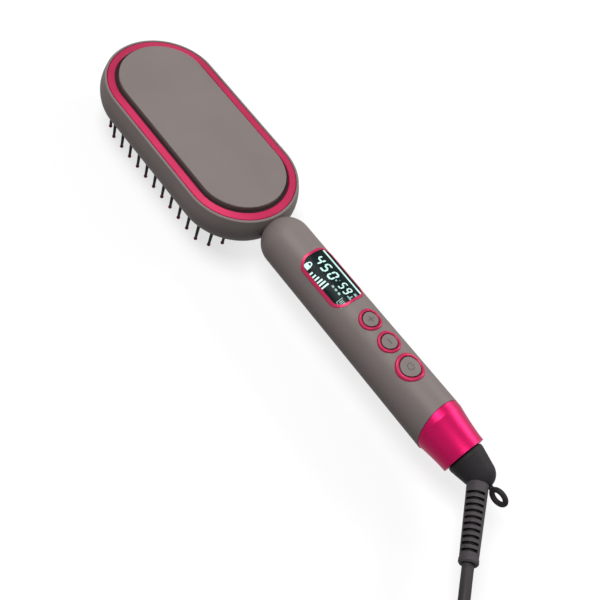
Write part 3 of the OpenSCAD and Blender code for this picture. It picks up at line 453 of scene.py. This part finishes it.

# %% [markdown]
# The boot is soft rubber, a slim cone that starts at the elbow's corner. Slots are cut across it, and their
# insides get painted shade, nearly black. The shader measures how far along the cone a point is and how far
# from its middle line, and paints shade on whatever lies deeper than the skin.

# %% The boot, and painted shade in its slots
BOOT_CORNER = Vector((144.33, 0, 28.2)) * MM
BOOT_ROOT, BOOT_ROOT_R, BOOT_TAPER = 4 * MM, 5.5 * MM, 0.02235


def boot_paint_and_slot_shade(place):
    from_corner = place - tuple(BOOT_CORNER)
    along = from_corner.calculate("DOT_PRODUCT", from_corner, tuple(EXIT_DIRECTION))
    thrice = place.node("ShaderNodeCombineXYZ", None, X=along, Y=along, Z=along)
    off = from_corner - thrice * tuple(EXIT_DIRECTION)
    skin = BOOT_ROOT_R - (along - BOOT_ROOT) * BOOT_TAPER
    # Painted shade: the depth below the skin becomes a mask that turns the slots' insides near black.
    depth = (skin - off.calculate("LENGTH", off)).ramp(0.25 * MM, 0.7 * MM)
    grain = place.noise(1400.0, detail=4.0, roughness=0.6)
    rubber = grain.ramp(0.3, 0.7).between(colour(60, 56, 59), colour(72, 68, 71))
    return {
        # The near-black colour is painted shade, not the rubber's own colour.
        "Base_Color": depth.between(rubber, colour(14, 12, 13)),
        "Roughness": grain.ramp(0.3, 0.7, (0.5, 0.65)),
        "Normal": grain.bump(0.25, 0.04 * MM),
    }


finishes["relief_rubber"] = material("relief_rubber", boot_paint_and_slot_shade, Specular_IOR_Level=0.15)
print("the boot starts at", tuple(round(v, 4) for v in BOOT_CORNER))

# %% [markdown]
# The board has copper traces under its green mask, as a faint grid of tracks and pads. The tie is a
# woven strap, whose warp is a wave with threads over it.

# %% The board and the tie
def board_paint(place):
    tracks = place.node(
        "ShaderNodeTexBrick", {"offset": 0.5}, Vector=place, Scale=260.0, Mortar_Size=0.03).out("Fac")
    clouds = place.noise(120.0, detail=2.0)
    mask = (tracks * 0.6 + clouds * 0.4).ramp(0.2, 0.9)
    return {
        "Base_Color": mask.between(colour(14, 74, 40), colour(34, 104, 58)),
        "Roughness": clouds.ramp(0.3, 0.7, (0.3, 0.42)),
        "Normal": tracks.bump(0.2, 0.03 * MM),
    }


def strap_paint(place):
    warp = place.node(
        "ShaderNodeTexWave", {"bands_direction": "DIAGONAL"}, Vector=place, Scale=420.0, Distortion=0.4)
    threads = place.noise(2500.0, detail=2.0)
    mask = (warp * 0.7 + threads * 0.3).ramp(0.2, 0.8)
    return {
        "Base_Color": mask.between(colour(26, 26, 28), colour(52, 51, 54)),
        "Roughness": threads.ramp(0.3, 0.7, (0.7, 0.85)),
        "Normal": (warp + threads * 0.3).bump(0.5, 0.15 * MM),
    }


finishes["board_green"] = material("board_green", board_paint, Coat_Weight=0.3)
finishes["tie_strap"] = material("tie_strap", strap_paint)
print("finishes so far:", len(finishes))

# %% [markdown]
# The display's window is dark tinted plastic. Its reflections are kept faint, so that the lit figures
# stand on near-black, as they do in the photograph.

# %% The display's window
def lens_paint(place):
    clouds = place.noise(60.0, detail=2.0)
    dust = place.noise(900.0, detail=3.0)
    return {
        "Base_Color": clouds.ramp(0.3, 0.7).between(colour(8, 20, 22), colour(13, 28, 29)),
        "Roughness": dust.ramp(0.4, 0.8, (0.3, 0.42)),
    }


finishes["display_lens"] = material("display_lens", lens_paint, Specular_IOR_Level=0.05)
print("finishes:", len(finishes))

# %% [markdown]
# Every solid that stays gets the finish of its material slot.

# %% Finishes on the solids
SLOTS = {
    "grey_shell": "head_housing top_panel handle_sleeve decrease_cap increase_cap power_cap",
    "pink_trim": "accent_ring display_frame decrease_ring increase_ring power_ring",
    "pink_collar": "collar",
    "tip_caps": "tooth_caps",
    "black_nylon": "bristle_frame bristles",
    "coated_plate": "heating_plate heating_teeth",
    "heater_ceramic": "heater_front heater_rear",
    "spring_steel": "heater_clamp neck_clip",
    "screw_steel": "head_screws",
    "brass_contacts": "thermal_fuse slip_rings plug_blades",
    "glass_bead": "temperature_sensor",
    "lead_insulation": "heater_leads mains_leads",
    "carrier_plastic": "board_carrier",
    "board_green": "circuit_board",
    "module_black": "display_module decrease_switch increase_switch power_switch",
    "display_lens": "display_window",
    "ivory_plastic": "decrease_plunger increase_plunger power_plunger swivel_bush contact_block",
    "swivel_black": "swivel_elbow hanging_loop",
    "relief_rubber": "strain_relief",
    "cord_rubber": "cord_tube cord_coil cord_tail plug_body",
    "tie_strap": "cord_tie",
}
for slot, names in SLOTS.items():
    for name in names.split():
        if name in nodes:
            nodes[name].data.materials.clear()
            nodes[name].data.materials.append(finishes[slot])
cord_curve.materials.append(finishes["cord_rubber"])
print("solids without a finish:", sorted(set(nodes) - set(" ".join(SLOTS.values()).split())))

# %% [markdown]
# A piece made here is a bmesh that becomes an object at the origin, rides on a body and takes a slot.

# %% From mesh code to a piece of the brush
def piece(name, bm, slot, body, finish=None, sharp=35):
    bmesh.ops.recalc_face_normals(bm, faces=bm.faces[:])
    mesh = bpy.data.meshes.new(name)
    bm.to_mesh(mesh)
    bm.free()
    mesh.shade_smooth()
    mesh.set_sharp_from_angle(angle=math.radians(sharp))
    made = bpy.data.objects.new(name, mesh)
    bpy.context.scene.collection.objects.link(made)
    mesh.materials.append(finish or finishes[slot])
    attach(made, body)
    return made


# %% [markdown]
# A dark sheet of painted shade lies at the foot of the groove between the raised panel and the pink ring,
# where the groove is in shadow. It shows as a near-black line that makes the panel stand out. It is a flat
# oblong outline, spun at both ends, bridged to a smaller one, and given its thickness.

# %% Painted shade in the groove
HEAD_STRAIGHT = 36.6
PANEL_EDGE, RING_EDGE, GROOVE_Z = 25.25, 27.05, 36.6
SHADE_SHEET_LIFT, SHADE_SHEET_THICK = 0.02, 0.25


def oblong(bm, r, z, steps=32):
    """An oblong outline round the head's two centres: two half circles and the straights between."""
    ends = []
    for side in (1, -1):
        centre = Vector((side * HEAD_STRAIGHT - MIDDLE, 0, z)) * MM
        start = bm.verts.new(centre - Vector((0, side * r, 0)) * MM)
        swept = bmesh.ops.spin(
            bm, geom=[start], cent=centre, axis=(0, 0, 1), dvec=(0, 0, 0), angle=math.pi, steps=steps,
            use_merge=False, use_duplicate=False)
        ends.append((start, swept["geom_last"][0]))
    (near_start, near_end), (far_start, far_end) = ends
    bm.edges.new((near_end, far_start))
    bm.edges.new((far_end, near_start))


bm = bmesh.new()
oblong(bm, PANEL_EDGE, GROOVE_Z + SHADE_SHEET_LIFT)
oblong(bm, RING_EDGE, GROOVE_Z + SHADE_SHEET_LIFT)
bmesh.ops.bridge_loops(bm, edges=bm.edges[:])
for v in bmesh.ops.extrude_face_region(bm, geom=bm.faces[:])["geom"]:
    if isinstance(v, bmesh.types.BMVert):
        v.co.z += SHADE_SHEET_THICK * MM
# The sheet's near-black maroon is painted shade for the shadowed groove floor, not a rubber part.
groove_shade_finish = material(
    "painted_groove_shade", moulded(colour(30, 12, 18), colour(44, 18, 26), gloss=(0.6, 0.75)), Specular_IOR_Level=0.2)
piece("painted_groove_shade", bm, "pink_trim", "brush", groove_shade_finish)
# The width printed here is that of the painted shade sheet.
print("the seal is", round(RING_EDGE - PANEL_EDGE, 2), "mm wide")

# %% [markdown]
# The display's figures and signs are thin lit shapes that lie on the window's round surface. Each is
# drawn flat, as (distance along the handle, arc length from the top line), cut into narrow strips,
# and bent round the handle with the window. The figures are those of a seven-segment display.

# %% The display's figures and signs
def bent(shapes, name, slot, body, finish, rise, thick, strip=0.7):
    """Flat outlines laid on the handle's surface as one thin piece."""
    bm = bmesh.new()
    for outline in shapes:
        bm.faces.new([bm.verts.new((x, arc, 0)) for x, arc in outline])
    low = min(v.co.y for v in bm.verts)
    high = max(v.co.y for v in bm.verts)
    for i in range(1, math.ceil((high - low) / strip)):
        bmesh.ops.bisect_plane(
            bm, geom=bm.verts[:] + bm.edges[:] + bm.faces[:], plane_co=(0, low + i * strip, 0),
            plane_no=(0, 1, 0))
    top = bmesh.ops.extrude_face_region(bm, geom=bm.faces[:])["geom"]
    for v in top:
        if isinstance(v, bmesh.types.BMVert):
            v.co.z = thick
    for v in bm.verts:
        v.co = on_handle(v.co.x, v.co.y, rise + v.co.z)
    return piece(name, bm, slot, body, finish)


def bar(a, b, width, slant=0.0):
    """A segment from a to b with pointed ends."""
    a, b = Vector(a), Vector(b)
    along = (b - a).normalized() * width / 2
    across = Vector((-along.y, along.x))
    corners = (a, a + along - across, b - along - across, b, b - along + across, a + along + across)
    return [tuple(p) for p in corners]


SEGMENTS = {
    "0": "abcdef", "4": "bcfg", "5": "acdfg", "9": "abcdfg",
}


def figure(sign, x, low, width, height, stroke, slant):
    """One seven-segment figure whose foot is at x, leaning by slant over its height."""
    w, h = width - stroke, height - stroke
    corner = {
        "a": ((0, h), (w, h)), "b": ((w, h / 2), (w, h)), "c": ((w, 0), (w, h / 2)), "d": ((0, 0), (w, 0)),
        "e": ((0, 0), (0, h / 2)), "f": ((0, h / 2), (0, h)), "g": ((0, h / 2), (w, h / 2)),
    }
    shapes = []
    for segment in SEGMENTS[sign]:
        a, b = (Vector(p) for p in corner[segment])
        gap = (b - a).normalized() * 0.06
        shapes.append([
            (x + stroke / 2 + px + slant * py / height, low + stroke / 2 + py)
            for px, py in bar(a + gap, b - gap, stroke)
        ])
    return shapes


def box(x0, x1, low, high):
    return [(x0, low), (x1, low), (x1, high), (x0, high)]


def ring(x, arc, outer, inner, sides=20):
    """A flat ring, as four-sided pieces."""
    at = [(math.cos(2 * math.pi * i / sides), math.sin(2 * math.pi * i / sides)) for i in range(sides + 1)]
    return [
        [(x + outer * c0, arc + outer * s0), (x + outer * c1, arc + outer * s1),
         (x + inner * c1, arc + inner * s1), (x + inner * c0, arc + inner * s0)]
        for (c0, s0), (c1, s1) in zip(at, at[1:])
    ]


signs = []
for sign, x in zip("450", (102.6, 108.0, 113.6)):
    signs += figure(sign, x, -3.4, 3.9, 6.3, 0.95, 1.0)
for sign, x in zip("59", (121.6, 125.4)):
    signs += figure(sign, x, -2.4, 2.8, 5.5, 0.75, 0.8)
# A long lit bar runs along the window's far edge, from one end to the other.
signs += [box(100.6, 132.6, 5.9, 7.3)]
signs += [box(102.1, 105.6, -9.2, -6.7)] + ring(103.85, -6.3, 1.45, 0.8)
for x, high in zip((107.8, 110.0, 111.9, 113.9, 115.7, 117.7), (-7.7, -7.3, -6.7, -6.1, -5.5, -5.1)):
    signs += [box(x, x + 0.95, -9.8, high)]
dim = [box(118.6, 119.6, -1.3, -0.3), box(119.9, 120.3, 0.6, 1.2)]
dim += [box(x, x + 1.5, -4.9, -3.8) for x in (120.1, 122.5, 125.1)]
dim += [box(129.3, 132.4, -2.1, -1.3), box(130.5, 131.3, -1.3, 0.5), box(130.2, 131.9, 1.7, 3.3)]
dim += [box(128.5, 128.9, -8.5, -4.3), box(132.2, 132.6, -8.5, -4.3), box(128.9, 132.2, -8.5, -8.1)]
dim += [box(129.5 + 0.9 * i, 129.9 + 0.9 * i, -7.4, -4.9) for i in range(3)]


def lit(name, near, far, power):
    """Light from the display: uneven by a few per cent, as a back light is."""
    def varied(place):
        glow = place.noise(300.0, detail=2.0)
        return {"Emission_Color": glow.ramp(0.3, 0.7).between(near, far)}
    return material(name, varied, Base_Color=(0.02, 0.03, 0.03, 1.0), Roughness=0.4, Emission_Strength=power)


bright = lit("display_bright", colour(196, 246, 238), colour(222, 255, 248), 1.0)
pale = lit("display_dim", colour(128, 176, 172), colour(150, 200, 194), 0.8)
bent(signs, "display_signs", "display_lens", "brush", bright, 0.01, 0.06)
bent(dim, "display_small_signs", "display_lens", "brush", pale, 0.01, 0.06)
print("signs on the display:", len(signs) + len(dim))

# %% [markdown]
# The buttons carry a plus, a minus and the usual on/off sign, pad printed in a darker grey.

# %% Signs on the buttons
ink = material("button_ink", moulded(colour(70, 62, 62), colour(84, 76, 75)), Specular_IOR_Level=0.4)


def power_sign(x, outer=2.1, inner=1.55, sides=28, open_half=35):
    """A ring with a gap at its top and a bar in the gap."""
    angles = [math.radians(90 + open_half + (360 - 2 * open_half) * i / sides) for i in range(sides + 1)]
    shapes = [
        [(x + outer * math.cos(a), outer * math.sin(a)), (x + outer * math.cos(b), outer * math.sin(b)),
         (x + inner * math.cos(b), inner * math.sin(b)), (x + inner * math.cos(a), inner * math.sin(a))]
        for a, b in zip(angles, angles[1:])
    ]
    return shapes + [box(x - 0.28, x + 0.28, 0.3, 2.5)]


plus_x, minus_x, power_x = (BUTTONS[n] for n in ("increase", "decrease", "power"))
marks = {
    "increase": [box(plus_x - 1.8, plus_x + 1.8, -0.3, 0.3), box(plus_x - 0.3, plus_x + 0.3, 0.3, 1.8),
                 box(plus_x - 0.3, plus_x + 0.3, -1.8, -0.3)],
    "decrease": [box(minus_x - 1.8, minus_x + 1.8, -0.3, 0.3)],
    "power": power_sign(power_x),
}
for name, shapes in marks.items():
    bent(shapes, name + "_sign", "grey_shell", name + "_button", ink, CAP_RISE, 0.04)
print("button signs:", sorted(marks))

# %% [markdown]
# The floor is a wide, plain sheet of white card under the bristle tips. To the camera, to reflections
# and to glass it is mostly white by itself, so that the picture's background is clean and the brush
# still leaves a soft shadow. To the light that bounces off it, it is a plain grey, which keeps the
# underside of the brush dark.

# %% The floor
SELF_WHITE = 0.7
CARD_SEEN = (0.93, 0.93, 0.93, 1.0)
BOUNCE_LOW, BOUNCE_HIGH = (0.14, 0.14, 0.14, 1.0), (0.16, 0.16, 0.16, 1.0)


def card_paint(place):
    fibres = place.noise(300.0, detail=3.0)
    camera_ray = place.node("ShaderNodeLightPath").out("Is Camera Ray")
    bounce = fibres.ramp(0.3, 0.7).between(BOUNCE_LOW, BOUNCE_HIGH)
    return {"Base_Color": camera_ray.between(bounce, CARD_SEEN)}


bm = bmesh.new()
bmesh.ops.create_grid(bm, x_segments=8, y_segments=8, size=3.0)
floor_mesh = bpy.data.meshes.new("floor")
bm.to_mesh(floor_mesh)
bm.free()
floor = bpy.data.objects.new("floor", floor_mesh)
bpy.context.scene.collection.objects.link(floor)

card = material("card", card_paint, Roughness=0.9, Specular_IOR_Level=0.1)
tree = card.node_tree
white = tree.nodes.new("ShaderNodeEmission")
both = tree.nodes.new("ShaderNodeMixShader")
watched = looked_at(tree)
watched.feed(both.inputs["Fac"], watched * SELF_WHITE)
tree.links.new(tree.nodes["Principled BSDF"].outputs[0], both.inputs[1])
tree.links.new(white.outputs[0], both.inputs[2])
tree.links.new(both.outputs[0], tree.nodes["Material Output"].inputs["Surface"])
floor_mesh.materials.append(card)
print("the floor is white by itself for", SELF_WHITE, "of what is seen")

# %% [markdown]
# Last, the scene is brought up to date.

# %% The end
bpy.context.view_layer.update()
